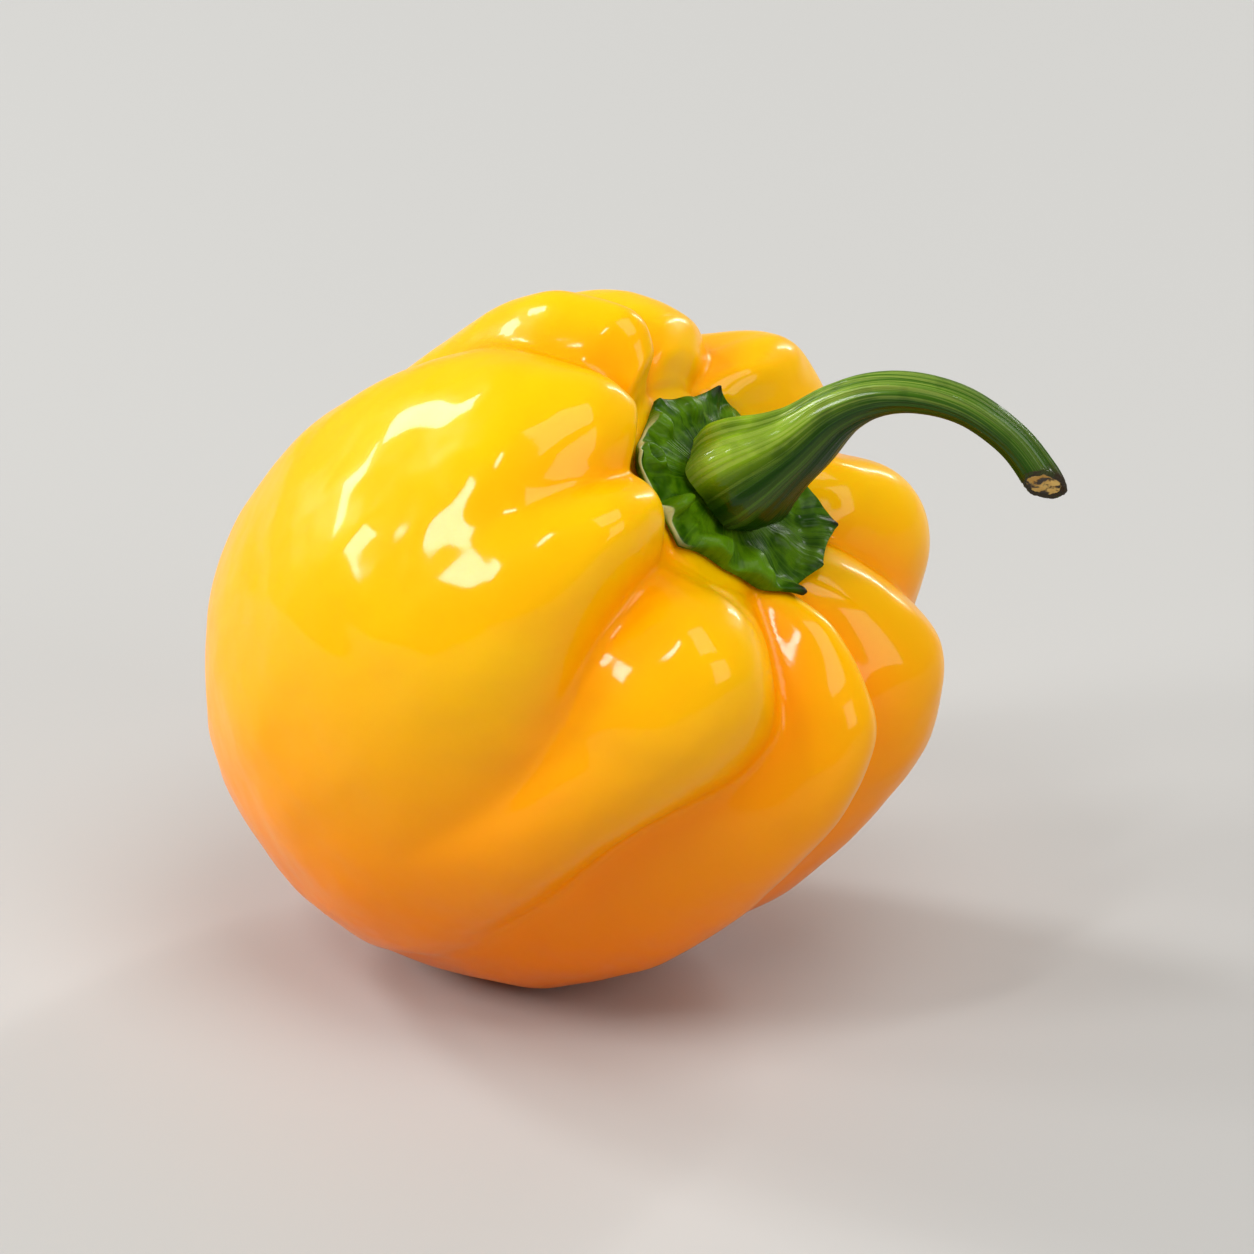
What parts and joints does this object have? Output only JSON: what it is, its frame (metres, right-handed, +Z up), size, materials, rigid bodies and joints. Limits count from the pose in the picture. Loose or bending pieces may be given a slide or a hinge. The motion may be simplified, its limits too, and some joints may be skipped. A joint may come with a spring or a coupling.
{
  "type": "scotch bonnet pepper",
  "caption": "A ripe yellow scotch bonnet pepper with a squat lobed pod, a toothed green calyx and a long hooked stem, picked and lying on its side",
  "frame": {"origin": "on the surface that the pepper rests on, under the middle of its bounding box", "axes": "+Z up; the stem end points toward +X, and a little toward -Y; the blossom end is toward -X; the camera's side is -Y"},
  "size_m": [0.0628, 0.0516, 0.0533],
  "materials": {
    "flesh": "waxy, very glossy ripe pepper skin",
    "calyx": "leafy, softly veined green",
    "stem": "ribbed fresh green with a satin sheen and a tan cut end"
  },
  "bodies": {
    "root": {"pod": "flesh", "calyx": "calyx", "stem": "stem"}
  },
  "joints": []
}
